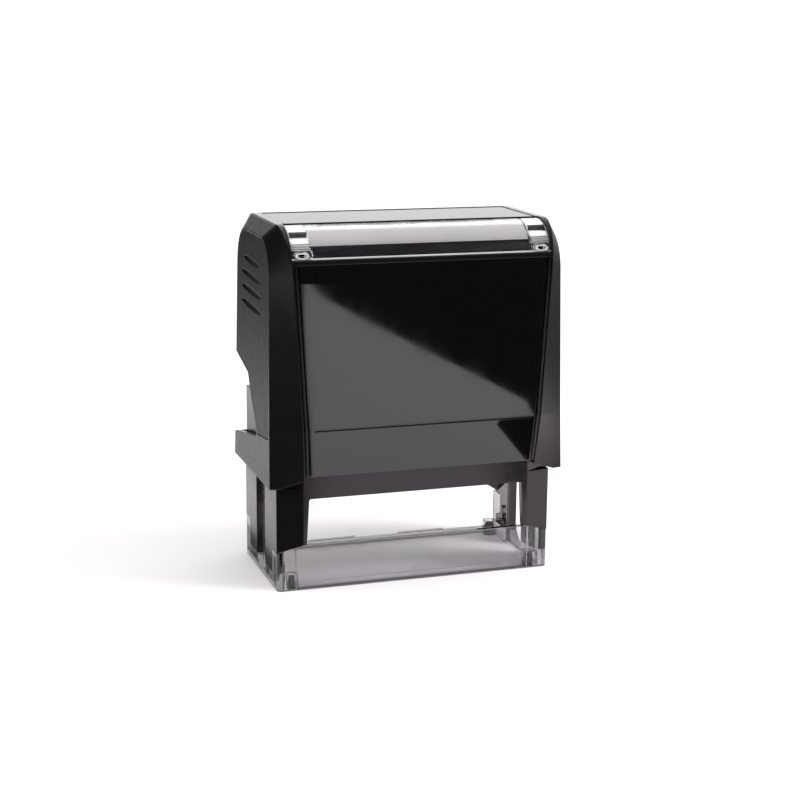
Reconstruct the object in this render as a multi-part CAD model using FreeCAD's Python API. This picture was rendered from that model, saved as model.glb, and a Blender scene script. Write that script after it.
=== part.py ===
import FreeCAD, Part
import math
import os

# Self-inking stamp with a turning text plate.
# Frame: X runs along the stamp's width, -Y is the front, +Z is up.
# The origin is the centre of the base, on the paper. Millimetres.

V = FreeCAD.Vector

# ---- driving dimensions ----
# Clear base
BASE_WIDTH = 66.0
BASE_DEPTH = 31.0
BASE_HEIGHT = 10.5
BASE_WALL = 1.4
BASE_CORNER_RADIUS = 1.2
POST_INNER_X = 28.4
POST_DEPTH = 1.1
REAR_LIP_HEIGHT = 1.3
FOOT_X = 29.3
FOOT_Y = 12.7
FOOT_RADIUS = 1.2
FOOT_TUBE_RADIUS = 1.75
FOOT_TUBE_HEIGHT = 3.5
FOOT_PLUG_HEIGHT = 2.0

# Stroke and turning axle
STROKE = 23.0
AXLE_DOWN_Z = 4.9
AXLE_REST_Z = AXLE_DOWN_Z + STROKE
SLOT_HALF_WIDTH = 4.06
BASE_SLOT_HALF_WIDTH = 4.1
BUSH_RADIUS = 4.0
SPIGOT_RADIUS = 2.2
PIN_RADIUS = 1.5
PIN_CLEARANCE = 0.06

# Cap: the core is the profile across the width, the side is the smaller end profile
CAP_BOTTOM_Z = 24.7
CAP_TOP_Z = 83.0
CAP_WALL = 2.2
CAP_SIDE_WALL = 1.4
CURVE_START_Z = 71.0
KNEE_Z = 38.3
CORE_BOTTOM_Y = 18.9
CORE_KNEE_Y = 20.6
CORE_CURVE_Y = 20.3
CORE_ROOF_Y = 11.0
CORE_X_BOTTOM = 27.4
CORE_X_TOP = 30.8
ROOF_EDGE_X = 31.7
SIDE_BOTTOM_Y = 17.2
SIDE_KNEE_Y = 16.4
SIDE_CURVE_Y = 15.1
SIDE_TOP_Y = 8.0
SIDE_TOP_Z = 79.9
SIDE_X_BOTTOM = 35.1
SIDE_X_TOP = 34.3
CIRCLE_POLE = 0.5523
BEYOND = 40.0

# Panels set into the cap
PANEL_BOTTOM_Z = 27.5
PANEL_TOP_Z = 74.6
PANEL_BOTTOM_X = 26.35
PANEL_TOP_X = 29.05
PANEL_GAP = 0.25
PANEL_DEPTH = 1.1
ROOF_PANEL_X = 29.6
ROOF_PANEL_Y = 10.2
GRIP_DEPTH = 0.7
GRIP_GROOVES = 4
GRIP_GROOVE_PITCH = 3.42
GRIP_GROOVE_DEPTH = 0.45

# Index window and card
WINDOW_BOTTOM_Z = 76.0
WINDOW_REAR_Y = -10.6
WINDOW_HALF_WIDTH = 30.2
WINDOW_SINK = 0.35
WINDOW_DEPTH = 1.4
CARD_DEPTH = 1.7
CARD_BOTTOM_Z = 78.4
CLIP_INNER_X = 25.9
CLIP_OUTER_X = 29.9
CLIP_TOP_Y = -15.2
CLIP_FACE = 0.95
CLIP_STEP_TOP_Z = 80.3

# Openings in the cap
BAND_TOP_REAR_Z = 30.2
REAR_OPENING_X = 30.2
REAR_OPENING_TOP_Z = 63.5
REAR_OPENING_CORNER = 2.5
# Upper edge of the side notch, from the band up to the rear (y, z).
NOTCH_EDGE = [(-4.75, 34.1), (-2.9, 37.4), (0.8, 42.2), (4.0, 47.1), (15.6, 49.8)]

# Inner frame
FRAME_HALF_WIDTH = 33.0
FRAME_INNER_X = 31.35
FACET_X = 27.1
LEG_CORNER_Y = 14.8
LEG_FRONT_Y = 16.2
LEG_BOTTOM_Z = 9.0
LEG_RISE = 1.9
LEG_TOP_Z = 24.0
UPPER_CORNER_Y = 13.4
LEG_INNER_BOTTOM_X = 26.4
LEG_INNER_TOP_X = 25.7
REAR_LEG_BOTTOM_Z = 10.0
REAR_LEG_RISE = 3.5
REAR_LEG_INNER_X = 27.2
BRIDGE_BOTTOM_Z = 21.5
DECK_BOTTOM_Z = 40.0
DECK_TOP_Z = 42.0
SIDE_WALL_TOP_Z = 51.0
REAR_WALL_TOP_Z = 54.5
RIB_INNER_X = 30.7
RIB_BOTTOM_Z = 0.6
RIB_NEAR_Y = 4.2
RIB_FAR_Y = 5.4

# Return springs and the beam above them
SPRING_X = 18.0
SPRING_RADIUS = 3.1
SPRING_WIRE = 0.8
SPRING_TURNS = 9
SPRING_SEAT_RADIUS = 2.0
BEAM_BOTTOM_Z = 75.5
BEAM_TOP_Z = 78.5
ARM_INNER_X = 29.9
ARM_OUTER_X = 31.2

# Text plate and ink cartridge
PLATE_HALF_WIDTH = 28.0
PLATE_HALF_DEPTH = 10.5
PRINT_FACE_OFFSET = 4.85
CARRIER_TOP = 2.6
CUSHION_THICKNESS = 0.75
PAD_FACE_Z = 34.0
PAD_THICKNESS = 2.7
PAD_HALF_WIDTH = 28.2
PAD_HALF_DEPTH = 11.2
CARTRIDGE_TOP_Z = 37.8


# ---- building helpers ----
def box(x0, x1, y0, y1, z0, z1):
    return Part.makeBox(x1 - x0, y1 - y0, z1 - z0, V(x0, y0, z0))


def side_box(side, x0, x1, y0, y1, z0, z1):
    """Box between two distances from the middle, on one end of the stamp."""
    low = min(side * x0, side * x1)
    return box(low, low + x1 - x0, y0, y1, z0, z1)


def side_rod(side, radius, x0, x1, z):
    """Rod along X between two distances from the middle, on one end."""
    return rod_x(radius, min(side * x0, side * x1), max(side * x0, side * x1), 0, z)


def polygon_face(points):
    return Part.Face(Part.makePolygon(points + [points[0]]))


def prism_x(outline, x0, x1):
    """Outline of (y, z) points, drawn along X."""
    face = polygon_face([V(x0, y, z) for y, z in outline])
    return face.extrude(V(x1 - x0, 0, 0))


def prism_y(outline, y0, y1):
    """Outline of (x, z) points, drawn along Y."""
    face = polygon_face([V(x, y0, z) for x, z in outline])
    return face.extrude(V(0, y1 - y0, 0))


def prism_z(outline, z0, z1):
    """Outline of (x, y) points, drawn along Z."""
    face = polygon_face([V(x, y, z0) for x, y in outline])
    return face.extrude(V(0, 0, z1 - z0))


def rod_x(radius, x0, x1, y, z):
    return Part.makeCylinder(radius, x1 - x0, V(x0, y, z), V(1, 0, 0))


def rod_z(radius, x, y, z0, z1):
    return Part.makeCylinder(radius, z1 - z0, V(x, y, z0), V(0, 0, 1))


def mirror_x(shape):
    return shape.mirror(V(0, 0, 0), V(1, 0, 0))


def four_corner_outline(outer_x, outer_y, inner_x, inner_y):
    """Eight-sided plan: flat front between +-inner_x, cut back to the sides."""
    corner = [(outer_x, -outer_y), (outer_x, outer_y), (inner_x, inner_y)]
    other = [(-inner_x, inner_y), (-outer_x, outer_y), (-outer_x, -outer_y)]
    return corner + other + [(-inner_x, -inner_y), (inner_x, -inner_y)]


# ---- cap outline ----
def rising_x(bottom_x, top_x, z):
    """Distance from the middle of a plane that leans evenly with height."""
    return bottom_x + (top_x - bottom_x) * (z - CAP_BOTTOM_Z) / (CAP_TOP_Z - CAP_BOTTOM_Z)


def side_x(z):
    return rising_x(SIDE_X_BOTTOM, SIDE_X_TOP, z)


def core_x(z):
    """The core's edge leans out evenly, then flares to the roof."""
    even = rising_x(CORE_X_BOTTOM, CORE_X_TOP, z)
    flare_start = CURVE_START_Z + 7.0
    if z <= flare_start:
        return even
    return even + (ROOF_EDGE_X - CORE_X_TOP) * (z - flare_start) / (CAP_TOP_Z - flare_start)


def cap_wire(place, bottom_y, knee_y, curve_y, top_y, top_z, bottom_z):
    """Closed profile in Y and Z. place(y, z) puts each point in space."""
    front = [(-bottom_y, bottom_z), (-knee_y, KNEE_Z), (-curve_y, CURVE_START_Z)]
    rise = (top_z - CURVE_START_Z) * CIRCLE_POLE
    run = (curve_y - top_y) * CIRCLE_POLE
    front_curve = Part.BezierCurve()
    front_curve.setPoles([
        place(-curve_y, CURVE_START_Z),
        place(-curve_y, CURVE_START_Z + rise),
        place(-top_y - run, top_z),
        place(-top_y, top_z),
    ])
    rear_curve = Part.BezierCurve()
    rear_curve.setPoles([
        place(top_y, top_z),
        place(top_y + run, top_z),
        place(curve_y, CURVE_START_Z + rise),
        place(curve_y, CURVE_START_Z),
    ])
    rear = [(curve_y, CURVE_START_Z), (knee_y, KNEE_Z), (bottom_y, bottom_z)]
    edges = []
    for start, end in zip(front, front[1:]):
        edges.append(Part.makeLine(place(*start), place(*end)))
    edges.append(front_curve.toShape())
    edges.append(Part.makeLine(place(-top_y, top_z), place(top_y, top_z)))
    edges.append(rear_curve.toShape())
    for start, end in zip(rear, rear[1:]):
        edges.append(Part.makeLine(place(*start), place(*end)))
    edges.append(Part.makeLine(place(*rear[-1]), place(*front[0])))
    return Part.Wire(edges)


def core_wire(inset, bottom_z, place):
    return cap_wire(place, CORE_BOTTOM_Y - inset, CORE_KNEE_Y - inset, CORE_CURVE_Y - inset,
                    CORE_ROOF_Y - inset / 2, CAP_TOP_Z - inset, bottom_z)


def side_wire(inset, bottom_z, place):
    return cap_wire(place, SIDE_BOTTOM_Y - inset, SIDE_KNEE_Y - inset, SIDE_CURVE_Y - inset,
                    SIDE_TOP_Y - inset / 2, SIDE_TOP_Z - inset, bottom_z)


def cap_solid(core_inset, side_inset, bottom_z):
    """Closed outer form of the cap, or of the hollow inside it."""
    def left_side(y, z):
        return V(side_inset - side_x(z), y, z)

    def left_core(y, z):
        return V(-core_x(z), y, z)

    def right_core(y, z):
        return V(core_x(z), y, z)

    def right_side(y, z):
        return V(side_x(z) - side_inset, y, z)

    wires = [
        side_wire(side_inset, bottom_z, left_side),
        core_wire(core_inset, bottom_z, left_core),
        core_wire(core_inset, bottom_z, right_core),
        side_wire(side_inset, bottom_z, right_side),
    ]
    return Part.makeLoft(wires, True, True)


def core_slab(near, far):
    """Layer of the core between two depths under its surface."""
    def flat_end(y, z):
        return V(-BEYOND, y, z)

    layers = []
    for inset in (near, far):
        face = Part.Face(core_wire(inset, CAP_BOTTOM_Z - 2, flat_end))
        layers.append(face.extrude(V(2 * BEYOND, 0, 0)))
    return layers[0].cut(layers[1])


# ---- features cut into the cap ----
def front_trapezoid(grow):
    """Front panel outline, made larger all round by grow."""
    outline = [
        (-PANEL_BOTTOM_X - grow, PANEL_BOTTOM_Z - grow),
        (PANEL_BOTTOM_X + grow, PANEL_BOTTOM_Z - grow),
        (PANEL_TOP_X + grow, PANEL_TOP_Z + grow),
        (-PANEL_TOP_X - grow, PANEL_TOP_Z + grow),
    ]
    return prism_y(outline, -25, 0)


def column_groove(side):
    """Narrow groove between the column and the rim of the front panel."""
    outline = [
        (side * 27.15, PANEL_BOTTOM_Z - 0.1), (side * 27.5, PANEL_BOTTOM_Z - 0.1),
        (side * 30.2, PANEL_TOP_Z + 0.2), (side * 29.85, PANEL_TOP_Z + 0.2),
    ]
    return prism_y(outline, -25, 0)


def window_zone(grow):
    """Space of the index window at the front edge of the roof."""
    half = WINDOW_HALF_WIDTH + grow
    return box(-half, half, -25, WINDOW_REAR_Y + grow, WINDOW_BOTTOM_Z - grow, CAP_TOP_Z + 2)


def roof_zone(grow):
    half = ROOF_PANEL_X + grow
    depth = ROOF_PANEL_Y + grow
    return box(-half, half, -depth, depth, CURVE_START_Z, CAP_TOP_Z + 2)


def notch_outline():
    rear = [(26.0, 52.3), (26.0, 28.7), (17.4, BAND_TOP_REAR_Z)]
    return NOTCH_EDGE + rear


def grip_outline():
    """Side grip panel, ending at the band below and the notch behind."""
    front = [(-15.4, 35.9), (-14.9, 66.0), (-14.5, 71.0), (-13.6, 75.0), (-11.6, 78.0), (-8.4, 79.3)]
    rear = [(8.4, 79.3), (11.6, 78.0), (13.6, 75.0), (14.5, 71.0), (14.9, 66.0), (15.1, 50.6)]
    edge = [(4.0, 48.0), (0.2, 42.6), (-3.5, 37.8), (-5.2, 34.9)]
    return front + rear + edge


def bottom_cut():
    """Shapes the lower edge: columns slant up to the raised front panel."""
    step = CORE_X_BOTTOM + 0.1
    foot = 33.0
    below = CAP_BOTTOM_Z - 4
    front = [
        (-foot, CAP_BOTTOM_Z), (-step, 26.6), (-step, PANEL_BOTTOM_Z), (step, PANEL_BOTTOM_Z),
        (step, 26.6), (foot, CAP_BOTTOM_Z), (foot, below), (-foot, below),
    ]
    rear = [
        (-foot, CAP_BOTTOM_Z), (-step, 25.9), (step, 25.9),
        (foot, CAP_BOTTOM_Z), (foot, below), (-foot, below),
    ]
    return prism_y(front, -25, -13).fuse(prism_y(rear, 13, 25))


# ---- cap body ----
def cap_shell():
    shell = cap_solid(0, 0, CAP_BOTTOM_Z)
    shell = shell.cut(cap_solid(CAP_WALL, CAP_SIDE_WALL, CAP_BOTTOM_Z - 1))
    shell = shell.cut(bottom_cut())
    shell = shell.cut(core_slab(-1, PANEL_DEPTH).common(front_trapezoid(PANEL_GAP)))
    for side in (-1, 1):
        shell = shell.cut(core_slab(-1, 0.5).common(column_groove(side)))
    shell = shell.cut(core_slab(-1, CARD_DEPTH).common(window_zone(0.1)))
    shell = shell.cut(core_slab(-1, PANEL_DEPTH).common(roof_zone(0.25)))
    for side in (-1, 1):
        shell = shell.cut(grip_blank(side, 0.25))
    shell = shell.cut(prism_x(notch_outline(), -BEYOND, BEYOND))
    side = REAR_OPENING_X
    top = REAR_OPENING_TOP_Z
    corner = REAR_OPENING_CORNER
    opening = [
        (-side, 30.0), (side, 30.0), (side, top - corner), (side - corner, top),
        (corner - side, top), (-side, top - corner),
    ]
    return shell.cut(prism_y(opening, 10, 30))


def grip_blank(side, grow):
    """Thin layer of the cap's side plane inside the grip outline."""
    centre_y = 0.0
    centre_z = 58.0
    outline = []
    for y, z in grip_outline():
        away = math.hypot(y - centre_y, z - centre_z)
        scale = 1 + grow / away
        outline.append((centre_y + (y - centre_y) * scale, centre_z + (z - centre_z) * scale))
    zone = prism_x(outline, side * 30, side * BEYOND)
    outer = cap_solid(0, 0, CAP_BOTTOM_Z)
    inner = cap_solid(0, 0, CAP_BOTTOM_Z)
    inner.translate(V(-side * GRIP_DEPTH, 0, 0))
    return outer.cut(inner).common(zone)


def grip_groove(y, z, half_length):
    """Lens-shaped finger groove, leaning down a little to the front."""
    lens = Part.Ellipse(V(0, 0, 0), half_length, 0.75)
    face = Part.Face(Part.Wire(lens.toShape()))
    groove = face.extrude(V(0, 0, 20))
    groove.rotate(V(0, 0, 0), V(1, 0, 0), 90)
    groove.rotate(V(0, 0, 0), V(0, 0, 1), 90)
    groove.rotate(V(0, 0, 0), V(1, 0, 0), 2)
    groove.translate(V(0, y, z))
    return groove


def grip_panel(side):
    panel = grip_blank(side, 0)
    groove_floor = side_x(68.0) - GRIP_GROOVE_DEPTH
    for index in range(GRIP_GROOVES):
        half_length = 7.3 if index == 0 else 9.2
        groove = grip_groove(0.7 + 0.15 * index, 73.2 - GRIP_GROOVE_PITCH * index, half_length)
        groove.translate(V(groove_floor, 0, 0))
        if side < 0:
            groove = mirror_x(groove)
        panel = panel.cut(groove)
    return panel


def front_panel():
    panel = core_slab(0.15, PANEL_DEPTH).common(front_trapezoid(0))
    line = box(-25.6, 25.6, -25, -CORE_KNEE_Y + 0.45, KNEE_Z - 0.25, KNEE_Z + 0.25)
    return panel.cut(line)


def roof_panel():
    return core_slab(0.1, PANEL_DEPTH).common(roof_zone(0))


def clip_zone(side, z0, z1):
    """Part of the end block of the window between two heights."""
    return side_box(side, CLIP_INNER_X, CLIP_OUTER_X, -25, CLIP_TOP_Y, z0, z1)


def clip_loop(side):
    """Oval ring at the foot of the end block."""
    x = side * (CLIP_INNER_X + CLIP_OUTER_X) / 2
    z = WINDOW_BOTTOM_Z + 0.95
    ring = rounded_bar(x, z, 3.2, 1.5).cut(rounded_bar(x, z, 2.0, 0.6))
    return ring.common(core_slab(0, CLIP_FACE + 0.1))


def rounded_bar(x, z, length, height):
    """Bar with round ends in X and Z, drawn along Y."""
    radius = height / 2
    reach = length / 2 - radius
    bar = box(x - reach, x + reach, -25, -10, z - radius, z + radius)
    for end in (x - reach, x + reach):
        bar = bar.fuse(Part.makeCylinder(radius, 15, V(end, -25, z), V(0, 1, 0)))
    return bar


def clip_slots(side):
    """Slot behind the step of the end block, and the gap down its inner side."""
    slot = clip_zone(side, CLIP_STEP_TOP_Z, CAP_TOP_Z)
    gap = side_box(side, CLIP_INNER_X - 0.35, CLIP_INNER_X, -25, CLIP_TOP_Y, 79.2, CAP_TOP_Z)
    foot_gap = side_box(side, CLIP_INNER_X - 0.35, CLIP_INNER_X, -25, CLIP_TOP_Y, 76.5, 77.9)
    return slot.fuse(gap).fuse(foot_gap)


def index_window():
    """Clear curved cover of the index card, with a ribbed block at each end."""
    window = core_slab(WINDOW_SINK, WINDOW_DEPTH).common(window_zone(0))
    for side in (-1, 1):
        window = window.cut(clip_zone(side, 70, 90).common(core_slab(-1, CLIP_FACE)))
        window = window.cut(clip_slots(side))
        step = clip_zone(side, 79.3, CLIP_STEP_TOP_Z).common(core_slab(0.4, CLIP_FACE + 0.05))
        window = window.fuse(step)
        for index in range(3):
            low = 77.95 + 0.45 * index
            rib = clip_zone(side, low, low + 0.22).common(core_slab(0.6, CLIP_FACE + 0.05))
            window = window.fuse(rib)
        window = window.fuse(clip_loop(side))
    return window.removeSplitter()


def index_card():
    half = CLIP_INNER_X - 0.4
    zone = box(-half, half, -25, WINDOW_REAR_Y - 0.2, CARD_BOTTOM_Z, CAP_TOP_Z)
    return core_slab(WINDOW_DEPTH, CARD_DEPTH).common(zone)


def drive_bow():
    """Bow inside the cap: a beam under the roof and an arm to each axle end."""
    bow = box(-ARM_OUTER_X, ARM_OUTER_X, -5, 5, BEAM_BOTTOM_Z, BEAM_TOP_Z)
    roof_inside = CAP_TOP_Z - CAP_WALL
    for side in (-1, 1):
        bow = bow.fuse(side_box(side, ARM_INNER_X, ARM_OUTER_X, -4, 4, AXLE_REST_Z, BEAM_BOTTOM_Z))
        bow = bow.fuse(side_rod(side, 4.0, ARM_INNER_X, ARM_OUTER_X, AXLE_REST_Z))
        bow = bow.fuse(side_rod(side, SPIGOT_RADIUS, ARM_OUTER_X, ARM_OUTER_X + 1.7, AXLE_REST_Z))
        bow = bow.fuse(rod_z(2.4, side * 24, 0, BEAM_TOP_Z, roof_inside))
        bow = bow.fuse(rod_z(SPRING_SEAT_RADIUS, side * SPRING_X, 0, BEAM_BOTTOM_Z - 3, BEAM_BOTTOM_Z))
        hole = side_rod(side, PIN_RADIUS + PIN_CLEARANCE, ARM_INNER_X - 0.1, ARM_OUTER_X + 0.1, AXLE_REST_Z)
        bow = bow.cut(hole)
    return bow.removeSplitter()


def guide_bush(side):
    """Ring on the bow's spigot that runs in the frame's slot."""
    start = ARM_OUTER_X + 0.05
    ring = side_rod(side, BUSH_RADIUS, start, start + 1.65, AXLE_REST_Z)
    return ring.cut(side_rod(side, SPIGOT_RADIUS, start - 1, start + 3, AXLE_REST_Z))


def return_spring(side):
    """Compression spring from the frame's deck to the bow's beam."""
    gap = 0.05
    low = DECK_TOP_Z + SPRING_WIRE / 2 + gap
    height = BEAM_BOTTOM_Z - DECK_TOP_Z - SPRING_WIRE - 2 * gap
    pitch = height / SPRING_TURNS
    helix = Part.makeLongHelix(pitch, height, SPRING_RADIUS)
    section = Part.Wire(Part.makeCircle(SPRING_WIRE / 2, V(SPRING_RADIUS, 0, 0), V(0, 1, 0)))
    spring = Part.Wire(helix).makePipeShell([section], True, True)
    spring.translate(V(side * SPRING_X, 0, low))
    return spring


# ---- frame body ----
def frame_plan(corner_y, front_y, outer_x, z0, z1):
    return prism_z(four_corner_outline(outer_x, corner_y, FACET_X, front_y), z0, z1)


def slanted_foot(low, rise, inner_x, y0, y1):
    """Everything below feet that slant up from the outer sides to inner_x."""
    outline = [
        (-BEYOND, low), (-FRAME_HALF_WIDTH, low), (-inner_x, low + rise), (inner_x, low + rise),
        (FRAME_HALF_WIDTH, low), (BEYOND, low), (BEYOND, -5), (-BEYOND, -5),
    ]
    return prism_y(outline, y0, y1)


def leg_bottom_cut():
    """Everything below the feet of the legs."""
    front = slanted_foot(LEG_BOTTOM_Z, LEG_RISE, LEG_INNER_BOTTOM_X, -25, 0)
    return front.fuse(slanted_foot(REAR_LEG_BOTTOM_Z, REAR_LEG_RISE, REAR_LEG_INNER_X, 0, 25))


def bridge_opening():
    """Opening between the legs: wider at the foot in front, straight at the rear."""
    lean = (LEG_INNER_BOTTOM_X - LEG_INNER_TOP_X) / (BRIDGE_BOTTOM_Z - LEG_BOTTOM_Z)
    foot = LEG_INNER_BOTTOM_X + lean * LEG_BOTTOM_Z
    top = BRIDGE_BOTTOM_Z
    round_off = 0.3
    outline = [
        (-foot, 0), (foot, 0), (LEG_INNER_TOP_X, top - round_off), (LEG_INNER_TOP_X - round_off, top),
        (round_off - LEG_INNER_TOP_X, top), (-LEG_INNER_TOP_X, top - round_off),
    ]
    rear = box(-REAR_LEG_INNER_X, REAR_LEG_INNER_X, 0, 25, 0, top)
    return prism_y(outline, -25, 0).fuse(rear)


def stamp_frame():
    """Black inner frame: four legs, two beams, side walls, deck and rails."""
    outer = frame_plan(LEG_CORNER_Y, LEG_FRONT_Y, FRAME_HALF_WIDTH, 5, LEG_TOP_Z)
    outer = outer.fuse(frame_plan(UPPER_CORNER_Y, LEG_FRONT_Y, FRAME_HALF_WIDTH, LEG_TOP_Z, DECK_TOP_Z))
    outer = outer.cut(leg_bottom_cut())
    inside = frame_plan(12.6, 14.4, FRAME_INNER_X, 0, DECK_BOTTOM_Z)
    frame = outer.cut(inside)
    frame = frame.cut(bridge_opening())
    frame = frame.fuse(rear_wall())
    for side in (-1, 1):
        frame = frame.fuse(side_tongue(side))
        for y_side in (-1, 1):
            frame = frame.fuse(guide_rib(side, y_side))
    for side in (-1, 1):
        frame = frame.cut(axle_slot(side))
        frame = frame.cut(arm_passage(side))
        frame = frame.fuse(pad_rail(side))
        frame = frame.fuse(rod_z(SPRING_SEAT_RADIUS, side * SPRING_X, 0, DECK_TOP_Z, DECK_TOP_Z + 4))
    frame = frame.cut(cartridge_mouth())
    return frame.removeSplitter()


def rear_wall():
    """Walls behind and beside the springs that close the cap's openings."""
    walls = frame_plan(11.8, 14.7, 32.6, DECK_TOP_Z - 1, SIDE_WALL_TOP_Z)
    walls = walls.cut(frame_plan(10.6, 13.3, FRAME_INNER_X, DECK_TOP_Z - 2, SIDE_WALL_TOP_Z + 1))
    walls = walls.cut(box(-BEYOND, BEYOND, -25, -9.0, DECK_TOP_Z - 2, SIDE_WALL_TOP_Z + 1))
    top = REAR_WALL_TOP_Z
    low = SIDE_WALL_TOP_Z
    outline = [(-26.4, low), (26.4, low), (24, top), (-24, top)]
    return walls.fuse(prism_y(outline, 13.3, 14.7))


def side_tongue(side):
    """Lower end of a side wall, let into the clear base."""
    return side_box(side, FRAME_INNER_X, FRAME_HALF_WIDTH, -10.9, 10.9, 3.3, 12)


def guide_rib(side, y_side):
    """Upright rib beside the slot that guides an arm of the bow."""
    y0 = min(y_side * RIB_NEAR_Y, y_side * RIB_FAR_Y)
    y1 = y0 + RIB_FAR_Y - RIB_NEAR_Y
    low_part = side_box(side, RIB_INNER_X, FRAME_INNER_X, y0, y1, RIB_BOTTOM_Z, 5.0)
    return low_part.fuse(side_box(side, RIB_INNER_X, FRAME_INNER_X + 0.2, y0, y1, 3.3, 34.2))


def axle_slot(side):
    """Upright slot for the guide bush, open at its lower end."""
    slot = side_box(side, 31, 34, -SLOT_HALF_WIDTH, SLOT_HALF_WIDTH, 0, AXLE_REST_Z)
    return slot.fuse(side_rod(side, SLOT_HALF_WIDTH, 31, 34, AXLE_REST_Z))


def arm_passage(side):
    """Slot in the deck for an arm of the bow."""
    return side_box(side, 29.6, FRAME_INNER_X, -4.3, 4.3, DECK_BOTTOM_Z - 1, DECK_TOP_Z + 1)


def pad_rail(side):
    """Ledge that carries the pad cartridge, split to let the arm pass."""
    front = side_box(side, 29.1, FRAME_INNER_X + 0.3, -12.6, -4.6, 34.7, 35.7)
    rear = side_box(side, 29.1, FRAME_INNER_X + 0.3, 4.6, 12.6, 34.7, 35.7)
    return front.fuse(rear)


def cartridge_mouth():
    """Opening in the rear wall that the cartridge slides through."""
    return box(-30.0, 30.0, 10, 20, 33.4, 39.0)


def clear_base():
    """Clear foot ring that stands on the paper and holds the frame."""
    half_x = BASE_WIDTH / 2
    half_y = BASE_DEPTH / 2
    inner_y = half_y - BASE_WALL
    base = box(-half_x, half_x, -half_y, half_y, 0, BASE_HEIGHT)
    upright = []
    for edge in base.Edges:
        start = edge.Vertexes[0].Point
        end = edge.Vertexes[1].Point
        if abs(start.z - end.z) > 1:
            upright.append(edge)
    base = base.makeFillet(BASE_CORNER_RADIUS, upright)
    base = base.cut(box(-FRAME_INNER_X, FRAME_INNER_X, -inner_y, inner_y, -1, BASE_HEIGHT + 1))
    base = base.cut(box(-FRAME_INNER_X, FRAME_INNER_X, 0, BASE_DEPTH, REAR_LIP_HEIGHT, BASE_HEIGHT + 1))
    for side in (-1, 1):
        base = base.fuse(corner_post(side))
        base = base.fuse(side_box(side, 5.5, 17.5, inner_y, half_y - 0.5, 1.0, REAR_LIP_HEIGHT + 0.5))
    base = base.common(leg_bottom_cut())
    for side in (-1, 1):
        base = base.cut(side_box(side, 31, 34, -10.95, 10.95, 3.25, BASE_HEIGHT + 1))
        half_slot = BASE_SLOT_HALF_WIDTH
        base = base.cut(side_box(side, 31, 34, -half_slot, half_slot, AXLE_DOWN_Z, BASE_HEIGHT + 1))
        base = base.cut(side_rod(side, BASE_SLOT_HALF_WIDTH, 31, 34, AXLE_DOWN_Z))
    base = base.fuse(box(-21.8, 21.8, -inner_y, 0.35 - inner_y, 1.1, 1.5))
    base = base.fuse(box(-0.2, 0.2, -inner_y, 0.35 - inner_y, 0.4, 2.8))
    for y_side in (-1, 1):
        for x_side in (-1, 1):
            base = base.fuse(foot_tube(x_side, y_side))
            base = base.fuse(snap_prong(x_side, y_side))
            base = base.cut(foot_rod(FOOT_RADIUS, x_side, y_side, FOOT_TUBE_HEIGHT))
    return base.removeSplitter()


def corner_post(side):
    """Thicker end of the front wall, under a leg of the frame."""
    low = BASE_WALL - BASE_DEPTH / 2
    return side_box(side, POST_INNER_X, FRAME_INNER_X, low, low + POST_DEPTH, 0, BASE_HEIGHT)


def foot_rod(radius, x_side, y_side, height):
    """Upright rod on the axis of a foot."""
    return rod_z(radius, x_side * FOOT_X, y_side * FOOT_Y, 0, height)


def foot_tube(x_side, y_side):
    """Tube in a corner of the base, joined to its wall, for a rubber foot."""
    return foot_rod(FOOT_TUBE_RADIUS, x_side, y_side, FOOT_TUBE_HEIGHT)


def snap_prong(x_side, y_side):
    """Stepped prong inside the end wall that the frame clips onto."""
    profile = [
        (5.6, 0), (5.6, 4.6), (6.2, 5.4), (6.2, 8.2), (7.0, 8.9), (7.8, 8.2), (7.8, 5.8),
        (9.4, 5.0), (10.6, 5.8), (10.6, 0),
    ]
    outline = [(y_side * y, z) for y, z in profile]
    return prism_x(outline, x_side * 30.2, x_side * FRAME_INNER_X)


def corner_feet():
    """Four rubber plugs with domed tops, one in each foot tube."""
    feet = []
    for x_side in (-1, 1):
        for y_side in (-1, 1):
            dome = Part.makeSphere(FOOT_RADIUS, V(x_side * FOOT_X, y_side * FOOT_Y, FOOT_PLUG_HEIGHT))
            feet.append(foot_rod(FOOT_RADIUS, x_side, y_side, FOOT_PLUG_HEIGHT).fuse(dome))
    return Part.makeCompound(feet)


# ---- text plate body ----
def die_carrier():
    """Carrier that turns over: a plate on ribs with a cheek at each end."""
    axis = AXLE_REST_Z
    rib_top = axis + 1.4
    rib_low = axis - CARRIER_TOP
    carrier = box(-28.9, 28.9, -10.4, 10.4, rib_top, axis + CARRIER_TOP)
    carrier = carrier.fuse(box(-28.4, 28.4, -0.7, 0.7, rib_low, rib_top))
    for index in range(5):
        x = -24.0 + 12.0 * index
        rib = [(-8.5, rib_top), (8.5, rib_top), (2.6, rib_low), (-2.6, rib_low)]
        carrier = carrier.fuse(prism_x(rib, x - 0.6, x + 0.6))
    for side in (-1, 1):
        carrier = carrier.fuse(side_rod(side, 3.4, 28.2, 29.6, axis))
        carrier = carrier.cut(side_rod(side, PIN_RADIUS, 28.4, 31.0, axis))
    below_cushion = box(-BEYOND, BEYOND, -20, 20, 0, axis + CARRIER_TOP)
    return carrier.common(below_cushion).removeSplitter()


def axle_pin(side):
    """Pin fast in the carrier's cheek that turns in the bow's arm."""
    return side_rod(side, PIN_RADIUS, 28.4, 31.1, AXLE_REST_Z)


def die_cushion():
    low = AXLE_REST_Z + CARRIER_TOP
    return box(-28.4, 28.4, -10.4, 10.4, low, low + CUSHION_THICKNESS)


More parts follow.
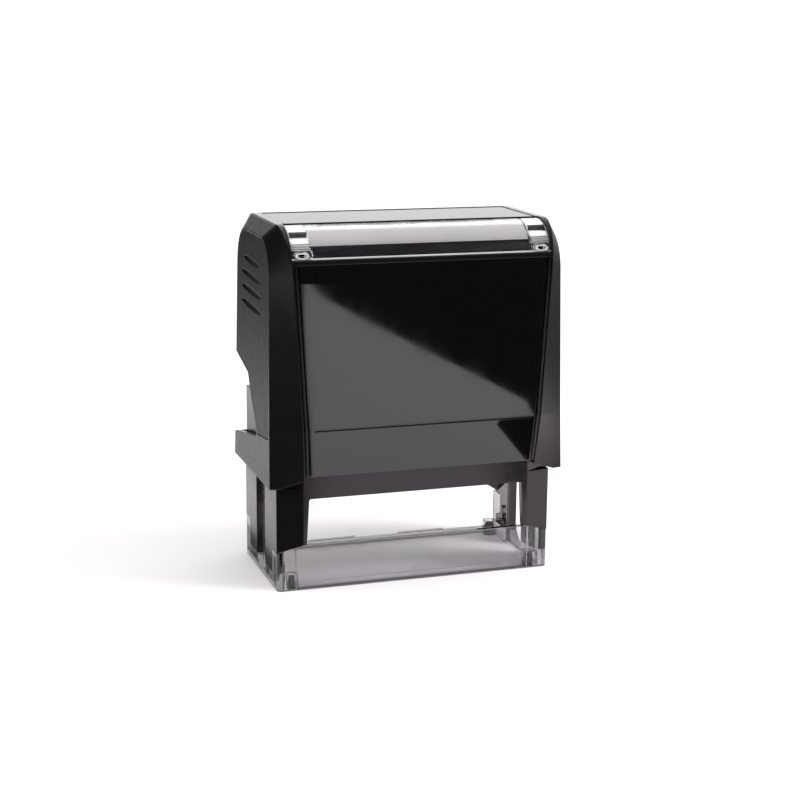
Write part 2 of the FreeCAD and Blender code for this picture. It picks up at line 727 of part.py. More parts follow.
def text_plate():
    """Rubber plate with a blank generic relief: a border and plain bars."""
    back = AXLE_REST_Z + CARRIER_TOP + CUSHION_THICKNESS
    face = AXLE_REST_Z + PRINT_FACE_OFFSET
    half_x = PLATE_HALF_WIDTH
    half_y = PLATE_HALF_DEPTH
    plate = box(-half_x, half_x, -half_y, half_y, back, face - 0.6)
    border = box(-half_x + 0.8, half_x - 0.8, -half_y + 0.8, half_y - 0.8, back + 0.6, face)
    border = border.cut(box(-half_x + 1.6, half_x - 1.6, -half_y + 1.6, half_y - 1.6, back, face + 1))
    plate = plate.fuse(border)
    for index in range(4):
        half_bar = 22.0 if index % 2 == 0 else 15.0
        y = -6.0 + 4.0 * index
        plate = plate.fuse(box(-half_bar, half_bar, y - 0.7, y + 0.7, face - 0.9, face))
    return plate.removeSplitter()


# ---- ink cartridge body ----
def pad_space(z0, z1):
    return box(-PAD_HALF_WIDTH, PAD_HALF_WIDTH, -PAD_HALF_DEPTH, PAD_HALF_DEPTH, z0, z1)


def pad_tray():
    """Shallow tray, open downwards, that holds the ink pad."""
    tray = box(-28.9, 28.9, -12.2, 13.2, PAD_FACE_Z + 0.5, CARTRIDGE_TOP_Z)
    tray = tray.fuse(box(-29.75, 29.75, -12.2, 13.2, 35.75, 36.9))
    return tray.cut(pad_space(PAD_FACE_Z - 1, PAD_FACE_Z + PAD_THICKNESS)).removeSplitter()


def ink_pad():
    return pad_space(PAD_FACE_Z, PAD_FACE_Z + PAD_THICKNESS)


def pad_grip():
    """Pull tab on the rear end of the tray, with finger ridges."""
    grip = box(-28.6, 28.6, 13.2, 15.6, PAD_FACE_Z, CARTRIDGE_TOP_Z)
    grip = grip.fuse(box(-13, 13, 15.6, 16.8, PAD_FACE_Z, CARTRIDGE_TOP_Z))
    for index in range(9):
        x = -10.0 + 2.5 * index
        grip = grip.cut(box(x - 0.4, x + 0.4, 16.4, 17.5, PAD_FACE_Z + 0.6, CARTRIDGE_TOP_Z - 0.5))
    return grip.removeSplitter()


def main():
    os.makedirs("parts", exist_ok=True)
    nodes = {
        "clear_base": clear_base(),
        "corner_feet": corner_feet(),
        "stamp_frame": stamp_frame(),
        "cap_shell": cap_shell(),
        "front_panel": front_panel(),
        "roof_panel": roof_panel(),
        "left_grip_panel": grip_panel(-1),
        "right_grip_panel": grip_panel(1),
        "index_window": index_window(),
        "index_card": index_card(),
        "drive_bow": drive_bow(),
        "left_guide_bush": guide_bush(-1),
        "right_guide_bush": guide_bush(1),
        "left_return_spring": return_spring(-1),
        "right_return_spring": return_spring(1),
        "die_carrier": die_carrier(),
        "left_axle_pin": axle_pin(-1),
        "right_axle_pin": axle_pin(1),
        "die_cushion": die_cushion(),
        "text_plate": text_plate(),
        "pad_tray": pad_tray(),
        "ink_pad": ink_pad(),
        "pad_grip": pad_grip(),
    }
    for name, shape in nodes.items():
        print(name, shape.isValid(), len(shape.Solids), round(shape.Volume, 1))
        shape.exportStep(os.path.join("parts", name + ".step"))


main()
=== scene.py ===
import math

import bmesh
import bpy
from mathutils import Matrix, Vector, noise

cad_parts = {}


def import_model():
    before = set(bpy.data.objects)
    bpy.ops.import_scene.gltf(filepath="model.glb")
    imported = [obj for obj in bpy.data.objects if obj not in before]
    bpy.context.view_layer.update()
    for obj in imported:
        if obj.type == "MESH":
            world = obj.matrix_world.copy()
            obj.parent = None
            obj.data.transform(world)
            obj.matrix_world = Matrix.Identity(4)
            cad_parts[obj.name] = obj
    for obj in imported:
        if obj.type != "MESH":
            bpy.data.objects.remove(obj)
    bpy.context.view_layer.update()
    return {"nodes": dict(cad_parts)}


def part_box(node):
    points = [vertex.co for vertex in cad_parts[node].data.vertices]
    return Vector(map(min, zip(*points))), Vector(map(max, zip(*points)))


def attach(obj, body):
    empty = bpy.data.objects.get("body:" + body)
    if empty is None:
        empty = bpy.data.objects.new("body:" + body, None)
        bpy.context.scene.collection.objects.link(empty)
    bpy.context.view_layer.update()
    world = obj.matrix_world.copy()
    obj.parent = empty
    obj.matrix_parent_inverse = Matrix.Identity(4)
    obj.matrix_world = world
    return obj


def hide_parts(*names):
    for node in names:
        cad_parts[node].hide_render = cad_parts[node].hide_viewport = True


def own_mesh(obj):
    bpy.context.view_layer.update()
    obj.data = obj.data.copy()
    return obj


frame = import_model()
nodes = frame["nodes"]

MM = 0.001
DARK = 0.004  # grey level of the dark room that reflections see

# Index card, in mm from front to back: painted shade greys the card and fades out, then a painted
# highlight whitens its upper edge.
CARD_SHADE_FADE_Y = (-17.6, -13.4)
CARD_HIGHLIGHT_Y = (-13.3, -12.2)

# Painted highlights and painted shade on the clear window, in mm. Across is measured from the middle, up
# from the floor.
WINDOW_BLOCK_X = (25.9, 29.95)
WINDOW_FRONT_Y = (-14.75, -14.6)
WINDOW_LIP_Z = (76.06, 76.12)
WINDOW_RIBS_Z = (77.9, 79.3)
WINDOW_STEP_Z = (79.3, 80.3)
WINDOW_STEP_SHADOW_Z = (80.3, 80.4)
WINDOW_RIB_PITCH = 0.45
WINDOW_RING_CENTRE = (27.9, 76.9)
WINDOW_RING_HALF = (1.5, 0.66)

# Return springs, in mm and turns.
WIRE_RADIUS = 0.4
WIRE_SIDES = 10
LIVE_TURNS = 9
DEAD_TURNS = 0.9
STEPS_PER_TURN = 28

# Soft blocks, in mm: piece, CAD node, look, body, slot, crown, corner radius, seed.
SOFT_CELL = 1.6
SOFT_PARTS = (
    ("felt_pad", "ink_pad", "felt", "cartridge", "ink_felt", 0.18, 0.3, 3),
    ("foam_cushion", "die_cushion", "foam", "plate", "cushion_foam", 0.03, 0.12, 5),
)

# Dark cards on the floor that only show in reflections: name, grey level, corners in metres.
FLAG_HEIGHT = 1 * MM
FLAGS = (
    ("flag_right", DARK,
     [(0.048, -0.066), (0.048, -0.09), (0.085, -0.15), (0.10, -0.20), (0.0985, -0.40),
      (0.099, -0.449), (0.103, -0.486), (0.112, -0.533), (0.121, -0.58), (0.121, -3.9),
      (3.9, -3.9), (3.9, -0.9), (0.4, -0.16), (0.10, -0.10)]),
    ("flag_left", DARK,
     [(-0.03, -0.03), (-0.011, -0.069), (0.025, -0.212), (0.055, -0.326), (0.081, -0.425),
      (0.101, -0.499), (0.121, -0.58), (0.121, -3.9), (-3.9, -3.9), (-3.9, 0.0)]),
    ("flag_rear", DARK,
     [(-0.09, 0.20), (-0.4, 0.17), (-3.9, 0.17), (-3.9, 3.9), (-0.2, 3.9)]),
    ("flag_side", 0.08,
     [(0.14, 0.02), (0.4, -0.15), (3.9, -0.88), (3.9, 3.9), (0.9, 3.9), (0.14, 0.12)]),
    # flag_near is a painted shadow: a grey card beside the left end that stands in for the floor's soft
    # shadow in reflections.
    ("flag_near", 0.15,
     [(-0.0332, -0.02), (-0.0332, 0.018), (-0.038, 0.036), (-0.038, 0.005)]),
    ("flag_band", 0.45,
     [(-0.0515, 0.03), (-0.0515, 0.15), (-0.072, 0.2), (-0.072, 0.06)]),
)


# ---- node helpers ----
class Shader:
    """Small wrapper that builds one material's node tree."""

    def __init__(self, name):
        self.material = bpy.data.materials.new(name)
        self.material.use_nodes = True
        self.tree = self.material.node_tree
        self.bsdf = self.tree.nodes["Principled BSDF"]
        self.output = self.tree.nodes["Material Output"]
        coords = self.tree.nodes.new("ShaderNodeTexCoord")
        self.place = coords.outputs["Object"]

    def node(self, kind, **inputs):
        made = self.tree.nodes.new(kind)
        for key, value in inputs.items():
            made.inputs[key].default_value = value
        return made

    def link(self, source, target):
        self.tree.links.new(source, target)

    def noise(self, size, detail=3.0, roughness=0.55, stretch=None):
        """Noise whose grains are about size millimetres across."""
        place = self.place
        if stretch:
            mapping = self.node("ShaderNodeMapping")
            mapping.inputs["Scale"].default_value = stretch
            self.link(place, mapping.inputs["Vector"])
            place = mapping.outputs["Vector"]
        made = self.node("ShaderNodeTexNoise", Scale=1 / (size * MM), Detail=detail, Roughness=roughness)
        self.link(place, made.inputs["Vector"])
        return made.outputs["Fac"]

    def cells(self, size):
        """Distance to the nearest of many points about size millimetres apart."""
        made = self.node("ShaderNodeTexVoronoi", Scale=1 / (size * MM))
        self.link(self.place, made.inputs["Vector"])
        return made.outputs["Distance"]

    def along(self, axis):
        """Position along X, Y or Z in the piece's own frame."""
        made = self.tree.nodes.new("ShaderNodeSeparateXYZ")
        self.link(self.place, made.inputs[0])
        return made.outputs[axis]

    def away(self, axis):
        """Distance from the middle plane across X, Y or Z."""
        return self.math("ABSOLUTE", self.along(axis))

    def remap(self, source, low, high, new_low, new_high):
        made = self.tree.nodes.new("ShaderNodeMapRange")
        for index, value in enumerate((low, high, new_low, new_high)):
            made.inputs[index + 1].default_value = value
        self.link(source, made.inputs[0])
        return made.outputs[0]

    def math(self, operation, first, second=0.0):
        made = self.tree.nodes.new("ShaderNodeMath")
        made.operation = operation
        for index, value in enumerate((first, second)):
            if isinstance(value, (int, float)):
                made.inputs[index].default_value = value
            else:
                self.link(value, made.inputs[index])
        return made.outputs[0]

    def mix(self, factor, first, second):
        """Mix of two colours by factor."""
        made = self.tree.nodes.new("ShaderNodeMix")
        made.data_type = "RGBA"
        for index, value in ((6, first), (7, second)):
            if isinstance(value, tuple):
                made.inputs[index].default_value = (*value, 1)
            else:
                self.link(value, made.inputs[index])
        self.link(factor, made.inputs[0])
        return made.outputs[2]

    def bevel(self, radius):
        made = self.node("ShaderNodeBevel", Radius=radius * MM)
        made.samples = 6
        return made.outputs["Normal"]

    def edges(self, radius):
        """Mask that is 1 along sharp edges and 0 on flat faces."""
        geometry = self.tree.nodes.new("ShaderNodeNewGeometry")
        dot = self.tree.nodes.new("ShaderNodeVectorMath")
        dot.operation = "DOT_PRODUCT"
        self.link(self.bevel(radius), dot.inputs[0])
        self.link(geometry.outputs["Normal"], dot.inputs[1])
        return self.remap(dot.outputs["Value"], 0.995, 0.86, 0.0, 1.0)

    def bump(self, height, strength, distance, normal=None):
        made = self.node("ShaderNodeBump", Strength=strength, Distance=distance * MM)
        self.link(height, made.inputs["Height"])
        if normal is not None:
            self.link(normal, made.inputs["Normal"])
        return made.outputs["Normal"]

    def set(self, key, value):
        target = self.bsdf.inputs[key]
        if isinstance(value, tuple):
            target.default_value = (*value, 1)
        elif isinstance(value, (int, float)):
            target.default_value = value
        else:
            self.link(value, target)


# ---- materials ----
def moulded_plastic(name, colour, worn, rough, grain=0.35, depth=0.012, round_edge=0.25,
                    inside=None, polished_top=None):
    """Textured moulded plastic: fine grain, faint blotches and lighter, smoother edges.

    inside: half width and half depth in mm of a space whose walls are polished.
    polished_top: height in mm above which the surface is polished.
    """
    s = Shader(name)
    edge = s.edges(round_edge)
    scuff = s.remap(s.noise(1.4, 5.0, 0.65), 0.42, 0.68, 0.0, 1.0)
    wear = s.math("MULTIPLY", edge, scuff)
    blotch = s.remap(s.noise(9.0, 3.0), 0.3, 0.7, 0.0, 1.0)
    base = s.mix(blotch, colour, tuple(c * 1.35 for c in colour))
    s.set("Base Color", s.mix(wear, base, worn))
    mottle = s.remap(s.noise(2.2, 6.0, 0.7), 0.3, 0.7, rough - 0.05, rough + 0.06)
    finish = s.math("SUBTRACT", mottle, s.math("MULTIPLY", wear, 0.1))
    if inside:
        soft = 0.1
        past_x = s.remap(s.away(0), (inside[0] - soft) * MM, (inside[0] + soft) * MM, 0.0, 1.0)
        past_y = s.remap(s.away(1), (inside[1] - soft) * MM, (inside[1] + soft) * MM, 0.0, 1.0)
        outside = s.math("MAXIMUM", past_x, past_y)
        finish = s.math("MULTIPLY", finish, s.remap(outside, 0.0, 1.0, 0.25, 1.0))
        s.set("Specular IOR Level", s.remap(outside, 0.0, 1.0, 1.0, 0.5))
    if polished_top:
        polish = s.remap(s.along(2), (polished_top - 0.2) * MM, polished_top * MM, 1.0, 0.2)
        finish = s.math("MULTIPLY", finish, polish)
    s.set("Roughness", finish)
    s.set("IOR", 1.5)
    s.set("Specular Tint", (1.0, 0.92, 1.0))
    s.set("Normal", s.bump(s.noise(grain, 4.0, 0.7), 0.35, depth, s.bevel(round_edge)))
    return s.material


def gloss_panel(name, ior, smear):
    """High-gloss black plastic with faint wipe marks and dust."""
    s = Shader(name)
    dust = s.remap(s.noise(0.25, 2.0, 0.5), 0.70, 0.78, 0.0, 1.0)
    wipe = s.remap(s.noise(6.0, 5.0, 0.6, (1.0, 1.0, 0.25)), 0.35, 0.75, 0.0, smear)
    s.set("Base Color", s.mix(dust, (0.0022, 0.0022, 0.0025), (0.012, 0.012, 0.013)))
    s.set("Roughness", s.math("ADD", 0.035, wipe))
    s.set("IOR", ior)
    s.set("Normal", s.bump(s.noise(24.0, 1.0), 0.04, 0.4, s.bevel(0.35)))
    return s.material


def window_painted_light(s):
    """Masks of painted highlight and painted shade on the window: its end blocks and lower lip. The
    highlight mask turns the clear plastic milky white.
    """
    across, y, z = s.away(0), s.along(1), s.along(2)

    def band(source, low, high, soft=0.05):
        rise = s.remap(source, (low - soft) * MM, (low + soft) * MM, 0.0, 1.0)
        fall = s.remap(source, (high - soft) * MM, (high + soft) * MM, 1.0, 0.0)
        return s.math("MULTIPLY", rise, fall)

    def scaled(source, centre, half):
        offset = s.math("SUBTRACT", source, centre * MM)
        return s.math("DIVIDE", offset, half * MM)

    def ramp(source, span, start, stop):
        return s.remap(source, span[0] * MM, span[1] * MM, start, stop)

    block = band(across, *WINDOW_BLOCK_X)
    front = ramp(y, WINDOW_FRONT_Y, 1.0, 0.0)
    top = s.math("SUBTRACT", 1.0, front)
    step = s.math("MULTIPLY", band(z, *WINDOW_STEP_Z), front)
    # Painted shadow: a dark band above the step, where the step shades the window.
    slot = s.math("MULTIPLY", ramp(z, WINDOW_STEP_SHADOW_Z, 0.0, 1.0), front)
    # Painted highlight: milky stripes across the ribs.
    wave = s.math("SINE", s.math("MULTIPLY", z, 2 * math.pi / (WINDOW_RIB_PITCH * MM)))
    ribs = s.math("MULTIPLY", band(z, *WINDOW_RIBS_Z), s.remap(wave, -0.6, 0.6, 0.02, 0.3))
    # Painted highlight on the loop's ring and painted shade inside it.
    ring_x = scaled(across, WINDOW_RING_CENTRE[0], WINDOW_RING_HALF[0])
    ring_z = scaled(z, WINDOW_RING_CENTRE[1], WINDOW_RING_HALF[1])
    squares = s.math("ADD", s.math("MULTIPLY", ring_x, ring_x), s.math("MULTIPLY", ring_z, ring_z))
    reach = s.math("SQRT", squares)
    inner, outer = s.remap(reach, 0.58, 0.66, 0.0, 1.0), s.remap(reach, 0.98, 1.06, 1.0, 0.0)
    ring = s.math("MULTIPLY", inner, outer)
    painted_hole_shade = s.remap(reach, 0.5, 0.58, 1.0, 0.0)
    # Painted highlight: the block's top and step are half milky.
    painted_lit_faces = s.math("MAXIMUM", s.math("MULTIPLY", s.math("MAXIMUM", top, step), 0.5), ribs)
    painted_highlight = s.math("MULTIPLY", s.math("MAXIMUM", painted_lit_faces, s.math("MULTIPLY", ring, 0.35)), block)
    # Painted highlight along the window's bottom edge.
    lip = ramp(z, WINDOW_LIP_Z, 0.5, 0.0)
    dark = s.math("MULTIPLY", s.math("MAXIMUM", slot, painted_hole_shade), block)
    return s.math("MAXIMUM", painted_highlight, lip), dark


def clear_plastic(name, tint, haze, shadow, foot=None, end=None, marks=None):
    """Clear moulded plastic. Light passes through it to the parts and paper below.

    shadow: tint of the light that passes through in shadow and diffuse rays.
    foot: height in mm under which the edge gets painted shade.
    end: distance in mm from the middle beyond which the thick end wall gets painted shade.
    marks: function that gives masks of painted highlight, shown as milky white plastic, and of painted
    shade.
    """
    s = Shader(name)
    flow = s.noise(7.0, 3.0, 0.5)
    colour = s.mix(s.remap(flow, 0.3, 0.7, 0.0, 1.0), tint, tuple(c * 0.94 for c in tint))
    if end:
        # Painted shade: the end wall's colour darkens to near black.
        beyond = s.remap(s.away(0), (end - 0.2) * MM, (end + 0.2) * MM, 0.0, 0.8)
        colour = s.mix(beyond, colour, tuple(c * 0.12 for c in tint))
    if foot:
        # Painted shade: a dark band along the bottom edge.
        under = s.remap(s.along(2), foot * 0.7 * MM, foot * 1.3 * MM, 0.95, 0.0)
        colour = s.mix(under, colour, tuple(c * 0.06 for c in tint))
    s.set("Transmission Weight", 1.0)
    if marks:
        # Painted light on the window: the dark mask paints near-black shade and the highlight mask makes
        # the plastic milky white.
        painted_highlight, dark = marks(s)
        colour = s.mix(dark, colour, (0.004, 0.004, 0.004))
        s.set("Transmission Weight", s.math("SUBTRACT", 1.0, painted_highlight))
    s.set("Base Color", colour)
    s.set("IOR", 1.49)
    s.set("Roughness", s.remap(s.noise(3.0, 4.0), 0.3, 0.7, haze * 0.4, haze * 1.6))
    s.set("Normal", s.bump(flow, 0.06, 0.25, s.bevel(0.3)))
    path = s.tree.nodes.new("ShaderNodeLightPath")
    clear = s.tree.nodes.new("ShaderNodeBsdfTransparent")
    clear.inputs["Color"].default_value = (*shadow, 1)
    blend = s.tree.nodes.new("ShaderNodeMixShader")
    unseen = s.math("MAXIMUM", path.outputs["Is Shadow Ray"], path.outputs["Is Diffuse Ray"])
    s.link(unseen, blend.inputs[0])
    s.link(s.bsdf.outputs[0], blend.inputs[1])
    s.link(clear.outputs[0], blend.inputs[2])
    s.link(blend.outputs[0], s.output.inputs["Surface"])
    return s.material


def soft_rubber(name, colour, rough=0.75, grain=0.3, depth=0.03):
    """Matt rubber with a faint bloom."""
    s = Shader(name)
    bloom = s.remap(s.noise(1.6, 5.0, 0.65), 0.35, 0.75, 0.0, 1.0)
    s.set("Base Color", s.mix(bloom, colour, tuple(min(1.0, c * 1.3 + 0.01) for c in colour)))
    s.set("Roughness", s.remap(s.noise(0.8, 3.0), 0.3, 0.7, rough - 0.08, rough + 0.08))
    s.set("Specular IOR Level", 0.35)
    s.set("Normal", s.bump(s.noise(grain, 3.0, 0.6), 0.5, depth, s.bevel(0.15)))
    return s.material


def steel(name, rough, stretch):
    """Bright drawn or ground steel with fine lines."""
    s = Shader(name)
    lines = s.noise(0.5, 3.0, 0.6, stretch)
    s.set("Base Color", s.mix(lines, (0.56, 0.56, 0.57), (0.74, 0.74, 0.75)))
    s.set("Metallic", 1.0)
    s.set("Roughness", s.remap(lines, 0.3, 0.7, rough - 0.06, rough + 0.1))
    s.set("Normal", s.bump(lines, 0.25, 0.01, s.bevel(0.12)))
    return s.material


def ink_felt(name):
    """Felt soaked with black ink, with loose fibres and damp shine."""
    s = Shader(name)
    fibre = s.noise(0.35, 8.0, 0.75, (1.0, 3.0, 1.0))
    damp = s.remap(s.noise(4.0, 3.0), 0.4, 0.6, 0.0, 1.0)
    s.set("Base Color", s.mix(fibre, (0.006, 0.006, 0.012), (0.03, 0.03, 0.045)))
    s.set("Roughness", s.remap(damp, 0.0, 1.0, 0.45, 0.85))
    s.set("Sheen Weight", 0.25)
    s.set("Normal", s.bump(fibre, 0.8, 0.08))
    return s.material


def foam(name):
    """Open-cell foam with small pores."""
    s = Shader(name)
    pores = s.cells(0.35)
    # Painted shade in the pores: the colour darkens towards each pore's middle, where the bump sinks.
    s.set("Base Color", s.mix(s.remap(pores, 0.1, 0.6, 0.0, 1.0), (0.2, 0.19, 0.18), (0.42, 0.4, 0.37)))
    s.set("Roughness", s.remap(s.noise(2.0, 3.0), 0.3, 0.7, 0.82, 0.96))
    s.set("Normal", s.bump(pores, 0.8, 0.08))
    return s.material


def card(name):
    """Blank index card with faint fibre, grey towards its front edge from painted shade and white at its
    upper edge from a painted highlight.
    """
    s = Shader(name)
    fibre = s.noise(0.3, 6.0, 0.7, (1.0, 0.4, 1.0))
    # Painted shade: worn is the greyer card colour that stands in for shade towards the front.
    worn = s.mix(fibre, (0.23, 0.218, 0.222), (0.285, 0.272, 0.277))
    lighter_face = s.mix(fibre, (0.38, 0.365, 0.37), (0.44, 0.425, 0.43))
    painted_shade_fade = s.remap(s.along(1), CARD_SHADE_FADE_Y[0] * MM, CARD_SHADE_FADE_Y[1] * MM, 0.0, 1.0)
    face = s.mix(painted_shade_fade, worn, lighter_face)
    # Painted highlight: near-white card colour along the upper edge.
    painted_top_highlight = s.remap(s.along(1), CARD_HIGHLIGHT_Y[0] * MM, CARD_HIGHLIGHT_Y[1] * MM, 0.0, 1.0)
    s.set("Base Color", s.mix(painted_top_highlight, face, (0.88, 0.87, 0.875)))
    s.set("Roughness", s.remap(s.noise(5.0, 3.0), 0.3, 0.7, 0.6, 0.75))
    s.set("Normal", s.bump(fibre, 0.3, 0.02))
    return s.material


def make_materials():
    """One material for each look."""
    black = (0.0028, 0.0022, 0.0031)
    return {
        "cap": moulded_plastic("cap_satin_black", black, (0.014, 0.013, 0.015), 0.34,
                               round_edge=0.4, polished_top=82.75),
        "grip": moulded_plastic("grip_soft_black", black, (0.02, 0.02, 0.022), 0.46, 0.5, 0.02),
        "frame": moulded_plastic("frame_fine_black", (0.004, 0.0034, 0.0043), (0.016, 0.015, 0.017),
                                 0.18, depth=0.006, inside=(31.5, 14.5)),
        "inner": moulded_plastic("inner_black", (0.008, 0.008, 0.0085), (0.03, 0.03, 0.03), 0.42, 0.6),
        "tray": moulded_plastic("tray_black", (0.01, 0.01, 0.011), (0.04, 0.04, 0.04), 0.4, 0.6),
        "carrier": moulded_plastic("carrier_grey", (0.05, 0.05, 0.053), (0.12, 0.12, 0.12), 0.45, 0.6),
        "bush": moulded_plastic("bush_grey", (0.11, 0.11, 0.115), (0.2, 0.2, 0.2), 0.35, 0.4),
        "panel": gloss_panel("panel_high_gloss", 1.66, 0.03),
        "roof": gloss_panel("roof_gloss", 1.48, 0.06),
        "base": clear_plastic("clear_smoke", (0.70, 0.69, 0.71), 0.03, (0.66, 0.65, 0.67),
                              foot=0.55, end=31.5),
        "window": clear_plastic("clear_window", (0.95, 0.95, 0.955), 0.02, (0.9, 0.9, 0.9),
                                marks=window_painted_light),
        "foot": soft_rubber("foot_rubber", (0.012, 0.012, 0.012)),
        "text": soft_rubber("text_rubber", (0.3, 0.15, 0.12), 0.6, 0.25, 0.02),
        "wire": steel("spring_wire", 0.25, (1.0, 1.0, 12.0)),
        "pin": steel("ground_pin", 0.2, (0.2, 3.0, 3.0)),
        "felt": ink_felt("ink_felt"),
        "foam": foam("cushion_foam"),
        "card": card("index_card_paper"),
    }


materials = make_materials()

NODE_LOOKS = {
    "cap_shell": "cap", "left_grip_panel": "grip", "right_grip_panel": "grip", "stamp_frame": "frame",
    "front_panel": "panel", "roof_panel": "roof", "clear_base": "base", "index_window": "window",
    "corner_feet": "foot", "index_card": "card", "drive_bow": "inner", "left_guide_bush": "bush",
    "right_guide_bush": "bush", "die_carrier": "carrier", "left_axle_pin": "pin", "right_axle_pin": "pin",
    "pad_tray": "tray", "pad_grip": "tray", "text_plate": "text",
}


def dress(piece, look):
    piece.data.materials.clear()
    piece.data.materials.append(materials[look])


def dress_nodes():
    for node, look in NODE_LOOKS.items():
        dress(nodes[node], look)


dress_nodes()


# ---- pieces made here ----
def add_piece(name, mesh, look, body):
    """Put a smooth shaded mesh in the scene and let it ride on a body."""
    piece = bpy.data.objects.new(name, mesh)
    bpy.context.scene.collection.objects.link(piece)
    dress(piece, look)
    mesh.polygons.foreach_set("use_smooth", [True] * len(mesh.polygons))
    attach(piece, body)
    return piece


def tube_mesh(name, path, radius, sides):
    """Closed round wire that follows a path of points."""
    made = bmesh.new()
    rings = []
    for index, point in enumerate(path):
        before = path[max(index - 1, 0)]
        after = path[min(index + 1, len(path) - 1)]
        along = (after - before).normalized()
        across = along.cross(Vector((0, 0, 1))).normalized()
        up = across.cross(along)
        ring = []
        for step in range(sides):
            angle = 2 * math.pi * step / sides
            outward = math.cos(angle) * across + math.sin(angle) * up
            ring.append(made.verts.new(point + radius * outward))
        rings.append(ring)
    for first, second in zip(rings, rings[1:]):
        for step in range(sides):
            following = (step + 1) % sides
            made.faces.new((first[step], first[following], second[following], second[step]))
    made.faces.new(rings[0][::-1])
    made.faces.new(rings[-1])
    bmesh.ops.recalc_face_normals(made, faces=made.faces)
    mesh = bpy.data.meshes.new(name)
    made.to_mesh(mesh)
    made.free()
    return mesh


def return_spring(side):
    """Compression spring with closed ends, between the frame's deck and the bow."""
    node = side + "_return_spring"
    low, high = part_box(node)
    wire = WIRE_RADIUS * MM
    centre = (low + high) / 2
    coil = (high.x - low.x) / 2 - wire
    bottom = low.z + wire
    height = high.z - low.z - 2 * wire
    turns = LIVE_TURNS + 2 * DEAD_TURNS
    steps = int(turns * STEPS_PER_TURN)
    closed_rise = 2 * wire * DEAD_TURNS
    path = []
    for step in range(steps + 1):
        turn = turns * step / steps
        if turn < DEAD_TURNS:
            rise = closed_rise * turn / DEAD_TURNS
        elif turn > turns - DEAD_TURNS:
            rise = height - closed_rise * (turns - turn) / DEAD_TURNS
        else:
            live_height = height - 2 * closed_rise
            rise = closed_rise + live_height * (turn - DEAD_TURNS) / (turns - 2 * DEAD_TURNS)
        angle = 2 * math.pi * turn
        x = centre.x + coil * math.cos(angle)
        y = centre.y + coil * math.sin(angle)
        path.append(Vector((x, y, bottom + rise)))
    mesh = tube_mesh(side + "_spring_coil", path, wire, WIRE_SIDES)
    piece = add_piece(side + "_spring_coil", mesh, "wire", "frame")
    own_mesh(piece)
    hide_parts(node)


def crowned_block(name, node, crown, corner, cell, seed):
    """Soft block with rounded edges, a slight crown and an uneven surface."""
    low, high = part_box(node)
    size = high - low
    made = bmesh.new()
    bmesh.ops.create_cube(made, size=1.0)
    bmesh.ops.scale(made, vec=size - Vector((2, 2, 2)) * corner * 0.02, verts=made.verts)
    bmesh.ops.bevel(made, geom=made.edges[:], offset=corner, segments=3, profile=0.5, affect="EDGES")
    cuts = max(2, int(size.x / cell))
    for axis, count in ((0, cuts), (1, max(2, int(size.y / cell)))):
        for index in range(1, count):
            offset = -size[axis] / 2 + size[axis] * index / count
            normal = Vector((1, 0, 0)) if axis == 0 else Vector((0, 1, 0))
            bmesh.ops.bisect_plane(made, geom=made.verts[:] + made.edges[:] + made.faces[:],
                                   plane_co=normal * offset, plane_no=normal)
    centre = (low + high) / 2
    for vert in made.verts:
        across = 1 - (2 * vert.co.x / size.x) ** 2
        along = 1 - (2 * vert.co.y / size.y) ** 2
        sink = crown * (1 - max(0.0, across) ** 0.25 * max(0.0, along) ** 0.25)
        ripple = crown * 0.35 * noise.noise(vert.co / cell * 0.6 + Vector((seed, 0, 0)))
        inward = -1 if vert.co.z > 0 else 1
        vert.co.z += inward * (sink + abs(ripple))
        vert.co += centre
    bmesh.ops.recalc_face_normals(made, faces=made.faces)
    mesh = bpy.data.meshes.new(name)
    made.to_mesh(mesh)
    made.free()
    return mesh


def soft_parts():
    """Felt ink pad and foam cushion."""
    for name, node, look, body, slot, crown, corner, seed in SOFT_PARTS:
        mesh = crowned_block(name, node, crown * MM, corner * MM, SOFT_CELL * MM, seed)
        piece = add_piece(name, mesh, look, body)
        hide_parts(node)


return_spring("left")
return_spring("right")
soft_parts()


# ---- studio ----
def plain_material(name, colour):
    """Matt material without any shine."""
    s = Shader(name)
    s.set("Base Color", s.mix(s.noise(40.0, 2.0), colour, tuple(c * 0.985 for c in colour)))
    s.set("Roughness", 0.9)
    s.set("Specular IOR Level", 0.0)
    return s.material


def floor():
    """White floor, 8 m wide."""
    mesh = bpy.data.meshes.new("floor")
    made = bmesh.new()
    bmesh.ops.create_grid(made, x_segments=1, y_segments=1, size=4.0)
    made.to_mesh(mesh)
    made.free()
    piece = bpy.data.objects.new("floor", mesh)
    bpy.context.scene.collection.objects.link(piece)
    mesh.materials.append(plain_material("floor_white", (0.90, 0.875, 0.893)))


def flag(name, shade, corners):
    """Dark card that only shows in reflections."""
    mesh = bpy.data.meshes.new(name)
    mesh.from_pydata([(x, y, FLAG_HEIGHT) for x, y in corners], [], [tuple(range(len(corners)))])
    piece = bpy.data.objects.new(name, mesh)
    bpy.context.scene.collection.objects.link(piece)
    mesh.materials.append(plain_material(name, (shade, shade, shade)))
    piece.visible_camera = False
    piece.visible_diffuse = False
    piece.visible_shadow = False
    piece.visible_transmission = False


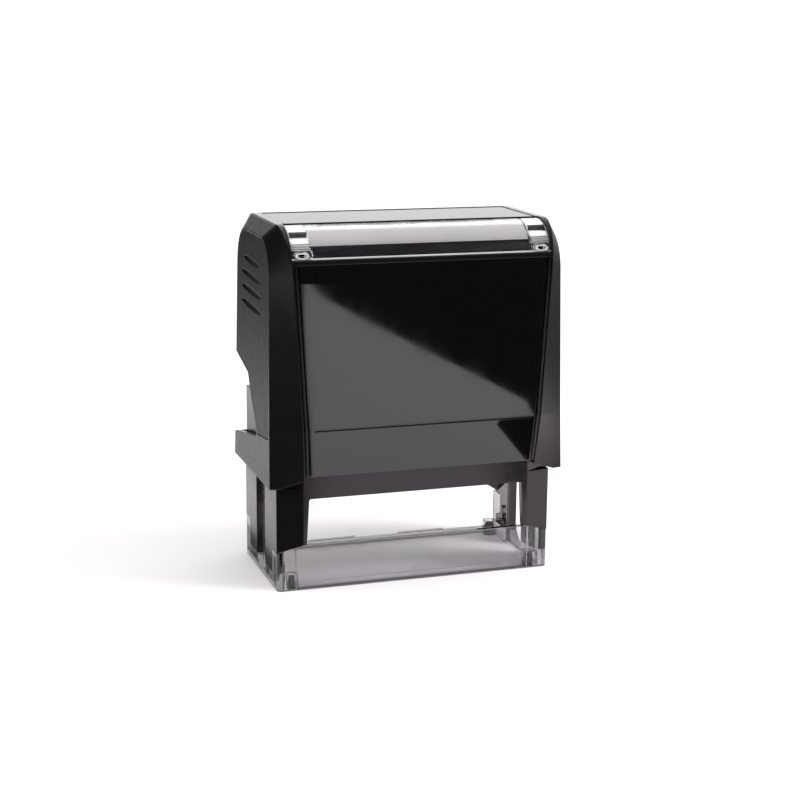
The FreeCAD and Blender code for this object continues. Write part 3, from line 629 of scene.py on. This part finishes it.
def world(strength):
    """Even white surround. Glossy and transmitted rays see a dark room in front and to the left."""
    made = bpy.data.worlds.new("studio")
    made.use_nodes = True
    tree = made.node_tree
    background = tree.nodes["Background"]
    coords = tree.nodes.new("ShaderNodeTexCoord")
    parts = tree.nodes.new("ShaderNodeSeparateXYZ")
    tree.links.new(coords.outputs["Generated"], parts.inputs[0])

    def below(axis, low, high):
        mask = tree.nodes.new("ShaderNodeMapRange")
        for index, value in enumerate((low, high, 1.0, 0.0)):
            mask.inputs[index + 1].default_value = value
        tree.links.new(parts.outputs[axis], mask.inputs[0])
        return mask.outputs[0]

    def combine(operation, first, second):
        made_node = tree.nodes.new("ShaderNodeMath")
        made_node.operation = operation
        tree.links.new(first, made_node.inputs[0])
        tree.links.new(second, made_node.inputs[1])
        return made_node.outputs[0]

    path = tree.nodes.new("ShaderNodeLightPath")
    bounced = combine("MAXIMUM", path.outputs["Is Glossy Ray"], path.outputs["Is Transmission Ray"])
    dark = combine("MAXIMUM", below("Y", 0.1, 0.5), below("X", -0.28, 0.0))
    dark = combine("MULTIPLY", combine("MULTIPLY", dark, below("Z", 0.86, 0.97)), bounced)
    shade = tree.nodes.new("ShaderNodeMix")
    shade.data_type = "RGBA"
    shade.inputs[6].default_value = (1, 1, 1, 1)
    shade.inputs[7].default_value = (DARK, DARK, DARK, 1)
    tree.links.new(dark, shade.inputs[0])
    tree.links.new(shade.outputs[2], background.inputs["Color"])
    background.inputs["Strength"].default_value = strength
    bpy.context.scene.world = made


def area_light(name, place, aim, size, power):
    """Round soft light that does not show in reflections."""
    data = bpy.data.lights.new(name, "AREA")
    data.shape = "DISK"
    data.size = size
    data.energy = power
    lamp = bpy.data.objects.new(name, data)
    lamp.location = place
    lamp.visible_glossy = False
    lamp.rotation_euler = (Vector(aim) - Vector(place)).to_track_quat("-Z", "Y").to_euler()
    bpy.context.scene.collection.objects.link(lamp)


def camera():
    """Camera left of the front and a little above. Its place is in base widths."""
    azimuth = math.radians(18.47)
    elevation = math.radians(12.93)
    roll = math.radians(0.58)
    base_width = 66 * MM
    place = Vector((-1.836, -5.539, 1.934)) * base_width
    right = Vector((math.cos(azimuth), -math.sin(azimuth), 0))
    up = Vector((math.sin(azimuth) * math.sin(elevation), math.cos(azimuth) * math.sin(elevation),
                 math.cos(elevation)))
    turned_right = math.cos(roll) * right + math.sin(roll) * up
    turned_up = -math.sin(roll) * right + math.cos(roll) * up
    back = turned_right.cross(turned_up)
    data = bpy.data.cameras.new("camera")
    data.lens = 75.4
    data.sensor_width = 36.0
    data.clip_start = 0.01
    made = bpy.data.objects.new("camera", data)
    matrix = Matrix((turned_right, turned_up, back)).transposed().to_4x4()
    matrix.translation = place
    made.matrix_world = matrix
    bpy.context.scene.collection.objects.link(made)
    bpy.context.scene.camera = made


floor()
for flag_name, flag_shade, flag_corners in FLAGS:
    flag(flag_name, flag_shade, flag_corners)
world(1.25)
area_light("key", (0.75, -0.35, 0.7), (0, 0, 0.03), 0.5, 8)
camera()
bpy.context.scene.view_settings.view_transform = "Standard"
